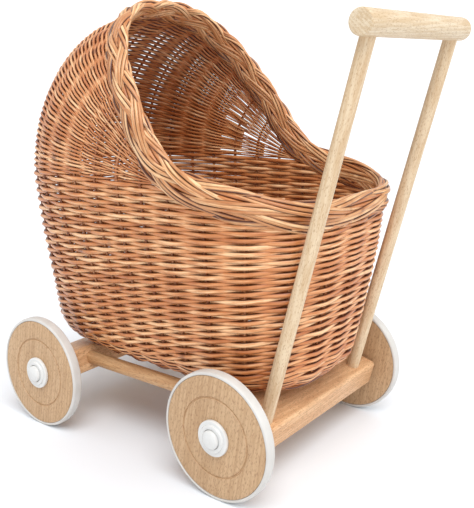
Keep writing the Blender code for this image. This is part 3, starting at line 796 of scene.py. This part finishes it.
# %% The plait
def plait(name, way):
    """Rods of one family. The place round the section is bundle + way * turns. The swing in and
    out is way * cos(2 pi * bundles * turns), so that the two families pass over and under each
    other. Both ends of a rod sink into the border."""
    bundle, strand, part = [grid.reshape(-1, 1) for grid in np.meshgrid(
        np.arange(BUNDLES), np.arange(BUNDLE_RODS), np.arange(TURNS), indexing="ij")]
    count = len(bundle)
    piece_length = BORDER_LENGTH / TURNS
    by_strand, by_bundle, by_chance = STAGGER
    later = by_strand * strand + by_bundle * bundle + RNG.uniform(0, by_chance, (count, 1))
    start = (part + later) * piece_length
    share = np.linspace(0, 1, 92)
    run = start + share * (piece_length + PLAIT_LAP)
    lane = (strand - (BUNDLE_RODS - 1) / 2) * PLAIT_LANE * PLAIT_RADIUS / SECTION_LENGTH
    drift = wander(run / WANDER_LENGTH, count, PLAIT_WANDER, 0.7)
    place = bundle / BUNDLES + way * turns_at(run) + lane + drift
    turn = np.interp(np.mod(place, 1), SECTION_RUN, SECTION_ANGLE)
    swing = way * np.cos(2 * math.pi * BUNDLES * turns_at(run))
    radii = PLAIT_RADIUS * RNG.uniform(0.88, 1.1, (count, 1)) * (1.0 - TAPER * share)
    from_end = np.minimum(run - run[:, :1], run[:, -1:] - run)
    sink = np.clip(1 - from_end / TUCK_LENGTH, 0, 1) ** 2 * PLAIT_TUCK
    proud = PLAIT_WAVE * (swing - 1) - radii - sink + PROUD
    half_wide, half_tall = BORDER_THICKNESS / 2 + proud, BORDER_HEIGHT / 2 + proud
    paths, outward = border_places(run, turn, half_wide, half_tall)
    piece = add_rods(name, paths, outward, radii, RNG.uniform(0, 1, count), sides=8)
    settle(piece, STRAW_WILLOW, "chassis", "willow_border", *(["basket_border"] if way > 0 else []))


plait("border_plait_right", 1)
plait("border_plait_left", -1)

# %% Rods inside the border
CORE_RODS = 14
CORE_RADIUS = 0.0030
CORE_WIDE, CORE_TALL = 0.0062, 0.0142       # half width and height of the oval that they stand on


def border_core():
    """Rods along the middle line, so that no gap in the plait shows through."""
    turn = 2 * math.pi * np.arange(CORE_RODS)[:, None] / CORE_RODS
    run = np.broadcast_to(np.linspace(0, BORDER_LENGTH + 0.01, 160), (CORE_RODS, 160))
    paths, outward = border_places(run, turn, CORE_WIDE, CORE_TALL)
    piece = add_rods("border_core", paths, outward, np.full(run.shape, CORE_RADIUS),
                     RNG.uniform(0, 1, CORE_RODS))
    settle(piece, BROWN_WILLOW, "chassis", "willow_border")


border_core()

# %% [markdown]
# ## The base
#
# The floor of the basket is woven too: rods run round it in nested ovals, over and under straight
# sticks that lie across. It could be a flat plate, but it shows from above through the opening.

# %% Rows of the base
STICK_GAP = 0.022
OVALS = 24
OVAL_INSET, OVAL_PITCH = 0.004, 0.00408     # of the outermost, and from one to the next
BASE_MIDDLE, BASE_SWING = 0.0042, 0.0022    # height over the base's underside, and swing about it
OVAL_ROD_RADIUS = 0.0019
FOOT_RIM = wall_place(np.array([0.0, math.pi / 2, math.pi]), np.zeros(3), 0.0) - PIVOT
FOOT_FRONT, FOOT_SIDE, FOOT_REAR = FOOT_RIM[0, 0], FOOT_RIM[1, 1], -FOOT_RIM[2, 0]


def lay_flat(name, paths, radius, finish, *nodes):
    """Rods that lie level: outwards is up."""
    up = np.broadcast_to(np.array([0.0, 0.0, 1.0]), paths.shape)
    radii = np.full(paths.shape[:2], radius)
    piece = add_rods(name, paths, up, radii, RNG.uniform(0, 1, len(paths)))
    settle(piece, finish, "chassis", "willow", *nodes)


def weave_base():
    """Nested ovals, each a rod further in. The swing up and down is cos(pi * (x / gap + row))."""
    inset = (OVAL_INSET + OVAL_PITCH * np.arange(OVALS))[:, None]
    rows = np.arange(OVALS)[:, None]
    angle = np.broadcast_to(angle_at(np.linspace(0, STAKES, 161)), (OVALS, 161))
    ahead, aside = level(angle, FOOT_SIDE - inset, FOOT_FRONT - inset, FOOT_REAR - inset,
                         FRONT_POWER, REAR_POWER)
    swing = np.cos(math.pi * ((PIVOT[0] + ahead) / STICK_GAP + rows))
    height = BASE_Z + BASE_MIDDLE + BASE_SWING * swing
    paths = np.stack([PIVOT[0] + ahead, aside, height], -1)
    lay_flat("base_weave", paths, OVAL_ROD_RADIUS, BROWN_WILLOW, "basket_base")


weave_base()

# %% Sticks of the base
STICK_RADIUS = 0.0018
END_ROOM, SIDE_ROOM = 0.008, 0.006      # from the foot's outline to the last stick, and to its ends


def lay_sticks():
    """Straight sticks a gap apart. Half of one's length is
    half width * (1 - (|x| / length)^p)^(1/p)."""
    low, high = PIVOT[0] - FOOT_REAR + END_ROOM, PIVOT[0] + FOOT_FRONT - END_ROOM
    across = np.arange(math.ceil(low / STICK_GAP), math.floor(high / STICK_GAP) + 1) * STICK_GAP
    ahead = across - PIVOT[0]
    length = np.where(ahead > 0, FOOT_FRONT, FOOT_REAR)
    power = np.where(ahead > 0, FRONT_POWER, REAR_POWER)
    reach = (FOOT_SIDE - SIDE_ROOM) * (1 - (np.abs(ahead) / length) ** power) ** (1 / power)
    side = reach[:, None] * np.linspace(-1, 1, 12)
    paths = np.stack(np.broadcast_arrays(across[:, None], side, BASE_Z + BASE_MIDDLE), -1)
    lay_flat("base_sticks", paths, STICK_RADIUS, STAKE_WILLOW)


lay_sticks()

# %% [markdown]
# ## Beech
#
# Boards, rails, arms, handle and wheels are beech: pale, even wood with faint growth bands and many
# short brown flecks along the grain. One recipe gives all of it. It turns the coordinates so that
# the grain lies along X, then stretches every pattern along it.

# %% Beech finish
def beech_finish(name, pale, deep, fleck, grain, gloss=0.5):
    """Growth bands, yearly layers, slow tone and short flecks. grain is the turn that lays the
    grain along X."""
    made, tree, shader = new_finish(name)
    place = node(tree, "TexCoord", {}).outputs["Object"]
    turned = node(tree, "Mapping", {"Vector": place, "Rotation": grain}).outputs[0]
    long = node(tree, "Mapping", {"Vector": turned, "Scale": (0.07, 1.0, 1.0)}).outputs[0]
    bands = noise(tree, long, 160.0, detail=3.0, roughness=0.55, distortion=0.4)
    slow = noise(tree, long, 22.0, detail=2.0)
    fibre = noise(tree, long, 900.0, detail=2.0)
    short = node(tree, "Mapping", {"Vector": turned, "Scale": (0.2, 1.0, 0.6)}).outputs[0]
    flecks = noise(tree, short, 1300.0, detail=1.0)
    tone = math_node(tree, "ADD", math_node(tree, "MULTIPLY", bands, 0.6),
                     math_node(tree, "MULTIPLY", slow, 0.4))
    sockets = {"Vector": long, "Scale": 120.0, "Distortion": 2.0, "Detail": 2.0, "Detail Scale": 1.0}
    layers = node(tree, "TexWave", sockets, bands_direction="DIAGONAL").outputs["Fac"]
    tone = math_node(tree, "ADD", tone, span(tree, layers, 0.1, 0.9, -0.05, 0.05))
    tone = math_node(tree, "ADD", tone, span(tree, fibre, 0.3, 0.7, -0.05, 0.05))
    colour = mix(tree, span(tree, tone, 0.36, 0.66), pale, deep)
    mark = span(tree, flecks, 0.54, 0.68, 0.0, 0.55)
    join(tree, mix(tree, mark, colour, fleck), shader.inputs["Base Color"])
    join(tree, span(tree, fibre, 0.2, 0.8, gloss - 0.08, gloss + 0.1), shader.inputs["Roughness"])
    bump(tree, shader, fibre, 0.35, 0.0002)
    return made


LEAN = math.radians(16.5)
ALONG_X = (0.0, 0.0, 0.0)
ALONG_Y = (0.0, 0.0, math.radians(-90))
UP_ARM = (0.0, math.radians(90) + LEAN, 0.0)
UP_DISC = (0.0, math.radians(102), 0.0)
ARM_BEECH = beech_finish("arm_beech", paint(226, 203, 170), paint(208, 178, 140),
                         paint(176, 138, 98), UP_ARM)
HANDLE_BEECH = beech_finish("handle_beech", paint(226, 208, 180), paint(208, 182, 146),
                            paint(172, 138, 100), ALONG_Y)
BOARD_BEECH = beech_finish("board_beech", paint(228, 186, 142), paint(208, 160, 116),
                           paint(150, 104, 64), ALONG_Y)
RAIL_BEECH = beech_finish("rail_beech", paint(212, 172, 126), paint(190, 144, 100),
                          paint(150, 104, 64), ALONG_X)
DISC_BEECH = beech_finish("disc_beech", paint(202, 168, 130), paint(184, 148, 110),
                          paint(142, 102, 66), UP_DISC, 0.55)

# %% [markdown]
# ## Turned and planed wood
#
# Arms, rails and the handle come off a lathe; the boards are planed and rounded over. A cylinder
# primitive has sharp, dead ends. Here a profile goes round an axis, and an oblong section goes
# along a board and shrinks into its rounded ends.

# %% Shapes turned about an axis
def spin(name, profile, place, segments=72, loop=False):
    """A profile of (radius, height) turned about Z: (r cos, r sin, height), then put in place.
    A loop is a ring with a hole. Otherwise both ends of the profile close on the axis."""
    profile = np.array(profile, float)
    turn = 2 * math.pi * np.arange(segments) / segments
    inner = profile if loop else profile[1:-1]
    skin = np.stack([inner[:, :1] * np.cos(turn), inner[:, :1] * np.sin(turn),
                     np.repeat(inner[:, 1:], segments, axis=1)], -1)
    index = np.arange(skin.shape[0] * segments).reshape(-1, segments)
    after = np.roll(index, -1, axis=1)
    low, high = (index, np.roll(index, -1, axis=0)) if loop else (index[:-1], index[1:])
    low_after, high_after = (after, np.roll(after, -1, axis=0)) if loop else (after[:-1], after[1:])
    points = skin.reshape(-1, 3)
    faces = [np.stack([low, low_after, high_after, high], -1).reshape(-1, 4)]
    if not loop:
        poles = np.array([(0, 0, profile[0, 1]), (0, 0, profile[-1, 1])])
        points = np.concatenate([points, poles])
        bottom, top = index.size, index.size + 1
        faces.append(np.stack([np.full(segments, bottom), after[0], index[0]], -1))
        faces.append(np.stack([np.full(segments, top), index[-1], after[-1]], -1))
    turned = np.array(place.to_3x3())
    points = points @ turned.T + np.array(place.translation)
    if np.linalg.det(turned) < 0:
        faces = [face[:, ::-1] for face in faces]
    return add_piece(name, points, faces)


def rounded(corner, radius, start, end, steps=6):
    """Points on an arc about a corner's centre, from one angle in degrees to another."""
    angle = np.radians(np.linspace(start, end, steps))
    circle = radius * np.stack([np.cos(angle), np.sin(angle)], -1)
    return (np.array(corner) + circle).tolist()


def round_bar(radius, low, high, edge):
    """The profile of a bar with rounded end edges."""
    return ([(0, low)] + rounded((radius - edge, low + edge), edge, -90, 0)
            + rounded((radius - edge, high - edge), edge, 0, 90) + [(0, high)])


# %% Arms, rails and handle
def leaning(x, z, lean):
    """A frame at (x, 0, z) that leans back about Y."""
    return Matrix.Translation((x, 0, z)) @ Matrix.Rotation(-lean, 4, "Y")


ALONG_LEFT = Matrix.Rotation(-math.pi / 2, 4, "X")
ALONG_FORWARD = Matrix.Rotation(math.pi / 2, 4, "Y")
REAR_BOARD = leaning(REAR_AXLE_X, AXLE_Z, LEAN)
FRONT_BOARD = leaning(FRONT_AXLE_X, AXLE_Z, -LEAN)
ARM_FOOT = REAR_BOARD @ Matrix.Translation((-0.0277, 0, 0))
ARM_RADIUS, ARM_Y = 0.00825, 0.101
ARM_LOW = -0.0035       # the arm's lower end in its socket; its upper end is in the handle
RAIL_RADIUS, RAIL_Y = 0.009, 0.097
BAR_EDGE = 0.0006
BOARD_HALF_THICKNESS = 0.0165
HANDLE_RISE = BOARD_HALF_THICKNESS + 0.464
HANDLE_RADIUS, HANDLE_HALF, HANDLE_EDGE = 0.014, 0.1228, 0.0022

for side, sign in (("left", 1), ("right", -1)):
    arm = spin("turned_arm_" + side, round_bar(ARM_RADIUS, ARM_LOW, HANDLE_RISE + 0.010, BAR_EDGE),
               ARM_FOOT @ Matrix.Translation((0, sign * ARM_Y, 0)))
    settle(arm, ARM_BEECH, "chassis", "pale_beech", "arm_" + side, sharp=40)
    low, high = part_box("rail_" + side)
    rail = spin("turned_rail_" + side, round_bar(RAIL_RADIUS, low.x, high.x, BAR_EDGE),
                Matrix.Translation((0, sign * RAIL_Y, (low.z + high.z) / 2)) @ ALONG_FORWARD)
    settle(rail, RAIL_BEECH, "chassis", "warm_beech", "rail_" + side, sharp=40)

handle = spin("turned_handle", round_bar(HANDLE_RADIUS, -HANDLE_HALF, HANDLE_HALF, HANDLE_EDGE),
              ARM_FOOT @ Matrix.Translation((0, 0, HANDLE_RISE)) @ ALONG_LEFT, segments=96)
settle(handle, HANDLE_BEECH, "chassis", "pale_beech", "handle_bar", sharp=40)

# %% Boards
BOARD_HALF_WIDTH, BOARD_HALF_LENGTH, BOARD_EDGE = 0.0444, 0.1380, 0.004


def planed_board(name, place, half_width, half_thickness, half_length, edge):
    """An oblong with rounded edges. Its section has corners of the edge's radius; towards each end
    it shrinks by edge * (1 - cos) while it moves out by edge * sin."""
    bend = np.radians(np.linspace(0, 90, 6))
    run = np.concatenate([-(half_length - edge) - edge * np.sin(bend[::-1]),
                          (half_length - edge) + edge * np.sin(bend)])
    shrink = np.concatenate([edge * (1 - np.cos(bend[::-1])), edge * (1 - np.cos(bend))])
    turn = np.radians(np.concatenate([np.linspace(q, q + 90, 6) for q in (0, 90, 180, 270)]))
    quarter = np.repeat(np.array([(1, 1), (-1, 1), (-1, -1), (1, -1)]), 6, axis=0)
    corner = quarter * np.array([half_width - edge, half_thickness - edge])
    radius = (edge - shrink)[:, None]
    wide = corner[:, 0] + radius * np.cos(turn)
    thick = corner[:, 1] + radius * np.sin(turn)
    points = np.stack([wide, np.broadcast_to(run[:, None], wide.shape), thick], -1)
    index = np.arange(wide.size).reshape(wide.shape)
    after = np.roll(index, -1, axis=1)
    quads = np.stack([index[:-1], index[1:], after[1:], after[:-1]], -1).reshape(-1, 4)
    caps = np.stack([index[0], index[-1][::-1]])
    points = points.reshape(-1, 3) @ np.array(place.to_3x3()).T + np.array(place.translation)
    return add_piece(name, points, [quads, caps])


for end, place in (("rear", REAR_BOARD), ("front", FRONT_BOARD)):
    board = planed_board("planed_board_" + end, place, BOARD_HALF_WIDTH, BOARD_HALF_THICKNESS,
                         BOARD_HALF_LENGTH, BOARD_EDGE)
    settle(board, BOARD_BEECH, "chassis", "warm_beech", end + "_board", sharp=40)

# %% [markdown]
# ## The wheels
#
# Each wheel is a beech disc with a fine turned groove, a pale rubber tyre, a white plastic bush
# with a stepped flange, and a domed cap on the axle. All are turned shapes, so each is a profile
# turned about the axle, with enough segments for a smooth outline.

# %% Rubber, plastic and steel
def plain_finish(name, first, second, scale, gloss, relief, metal=0.0):
    """A moulded or metal finish: faint clouds of tone, uneven gloss and a very fine relief."""
    made, tree, shader = new_finish(name)
    place = node(tree, "TexCoord", {}).outputs["Object"]
    clouds = noise(tree, place, scale, detail=4.0)
    grain = noise(tree, place, scale * 22, detail=2.0)
    join(tree, mix(tree, span(tree, clouds, 0.35, 0.65), first, second), shader.inputs["Base Color"])
    join(tree, span(tree, grain, 0.3, 0.7, gloss - 0.05, gloss + 0.07), shader.inputs["Roughness"])
    shader.inputs["Metallic"].default_value = metal
    bump(tree, shader, grain, 0.3, relief)
    return made


PALE_RUBBER = plain_finish("pale_rubber", paint(212, 210, 206), paint(204, 201, 196),
                           40.0, 0.55, 0.0002)
WHITE_PLASTIC = plain_finish("white_plastic", paint(222, 222, 220), paint(216, 216, 214),
                             60.0, 0.22, 0.00005)
STEEL = plain_finish("steel", (0.60, 0.60, 0.59, 1), (0.50, 0.50, 0.50, 1),
                     80.0, 0.28, 0.00008, metal=1.0)

# %% Profiles of disc and tyre
# Each profile is (radius, height), where the height is along the axle from the disc's middle.
WHEEL_RADIUS = 0.0750
DISC_HALF = 0.0066
RIM = WHEEL_RADIUS - 0.0036
BORE = 0.0147
WHEEL_Y = 0.156 - DISC_HALF
GROOVE, GROOVE_TOP, GROOVE_FLOOR, GROOVE_DEPTH = 0.0462, 0.0013, 0.0005, 0.0013
DISC_EDGE = 0.0013
TYRE_LIP, TYRE_SHOULDER = 0.0009, 0.0028
GROOVE_LINE = [(GROOVE + GROOVE_TOP, DISC_HALF), (GROOVE + GROOVE_FLOOR, DISC_HALF - GROOVE_DEPTH),
               (GROOVE - GROOVE_FLOOR, DISC_HALF - GROOVE_DEPTH), (GROOVE - GROOVE_TOP, DISC_HALF)]
DISC_PROFILE = ([(BORE, -DISC_HALF)]
                + rounded((RIM - 0.0016, -DISC_HALF + DISC_EDGE), DISC_EDGE, -90, 0, 4)
                + [(RIM - 0.0015, 0)]
                + rounded((RIM - 0.0016, DISC_HALF - DISC_EDGE), DISC_EDGE, 0, 90, 4)
                + GROOVE_LINE + [(BORE, DISC_HALF)])
TYRE_SIDE = ([(RIM - 0.0002, -0.0064)]
             + rounded((RIM + 0.0008, -0.0060), TYRE_LIP, 180, 270, 4)
             + rounded((WHEEL_RADIUS - TYRE_SHOULDER, -0.0041), TYRE_SHOULDER, -90, -8, 8))
TYRE_PROFILE = ([(RIM - 0.0013, 0)] + TYRE_SIDE + [(WHEEL_RADIUS, 0)]
                + [(radius, -height) for radius, height in reversed(TYRE_SIDE)])

# %% Profiles of bush and cap
AXLE_HOLE, BARREL = 0.00415, 0.0145
BARREL_LOW = -0.0086
FLANGE, STEP, MOUTH, DOME = [y - WHEEL_Y for y in (0.1563, 0.1605, 0.1625, 0.1675)]
RECESS = MOUTH - 0.0048
CAP_FOOT, CAP_SHOULDER = MOUTH - 0.0040, MOUTH + 0.0012
CAP_RADIUS = 0.0110
BUSH_PROFILE = ([(AXLE_HOLE, BARREL_LOW), (BARREL, BARREL_LOW), (BARREL, FLANGE)]
                + rounded((0.0204, FLANGE + 0.0006), 0.0006, -90, 0, 4)
                + rounded((0.0196, STEP - 0.0014), 0.0014, 0, 90, 6)
                + [(0.0166, STEP)] + rounded((0.0152, MOUTH - 0.0008), 0.0008, 0, 90, 5)
                + rounded((0.0120, MOUTH - 0.0005), 0.0005, 90, 180, 4)
                + [(0.0115, RECESS), (AXLE_HOLE, RECESS)])


def dome_line():
    """The cap's crown: radius * cos^0.8 outwards and height * sin upwards, a full, round shape."""
    turn = np.radians(np.linspace(0, 88, 14))
    height = CAP_SHOULDER + (DOME - CAP_SHOULDER) * np.sin(turn)
    return np.stack([CAP_RADIUS * np.cos(turn) ** 0.8, height], -1).tolist()


CAP_PROFILE = [(0, CAP_FOOT), (0.0108, CAP_FOOT)] + dome_line() + [(0, DOME)]

# %% Four wheels
for end, x in (("rear", REAR_AXLE_X), ("front", FRONT_AXLE_X)):
    for side, sign in (("left", 1), ("right", -1)):
        name = end + "_" + side
        outwards = Matrix.Rotation(-sign * math.pi / 2, 4, "X")
        hub = Matrix.Translation((x, sign * WHEEL_Y, AXLE_Z)) @ outwards
        wheel = "wheel_" + name
        disc = spin("turned_disc_" + name, DISC_PROFILE, hub, segments=96, loop=True)
        settle(disc, DISC_BEECH, wheel, "disc_beech", "wheel_disc_" + name, sharp=40)
        tyre = spin("rubber_tyre_" + name, TYRE_PROFILE, hub, segments=120, loop=True)
        settle(tyre, PALE_RUBBER, wheel, "white_tyre", "tyre_" + name, sharp=50)
        bush = spin("hub_" + name, BUSH_PROFILE, hub, segments=64, loop=True)
        settle(bush, WHITE_PLASTIC, wheel, "white_plastic", "hub_bush_" + name, sharp=40)
        cap = spin("domed_cap_" + name, CAP_PROFILE, hub, segments=64)
        settle(cap, WHITE_PLASTIC, "chassis", "white_plastic", "axle_cap_" + name, sharp=40)

# %% [markdown]
# ## Small metal and plastic parts
#
# The axles, screws, washers and spacers keep their CAD shapes, which are right as they are. They
# only need their real finish, so it goes into the material slots that they already have.

# %% Finishes of the kept nodes
def refinish(start, finish):
    """Puts a finish on every kept CAD node whose name starts that way."""
    for name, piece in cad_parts.items():
        if name.startswith(start):
            for slot in piece.material_slots:
                slot.material = finish


for start in ("front_axle", "rear_axle", "arm_screw", "basket_screw", "basket_washer"):
    refinish(start, STEEL)
refinish("spacer", WHITE_PLASTIC)
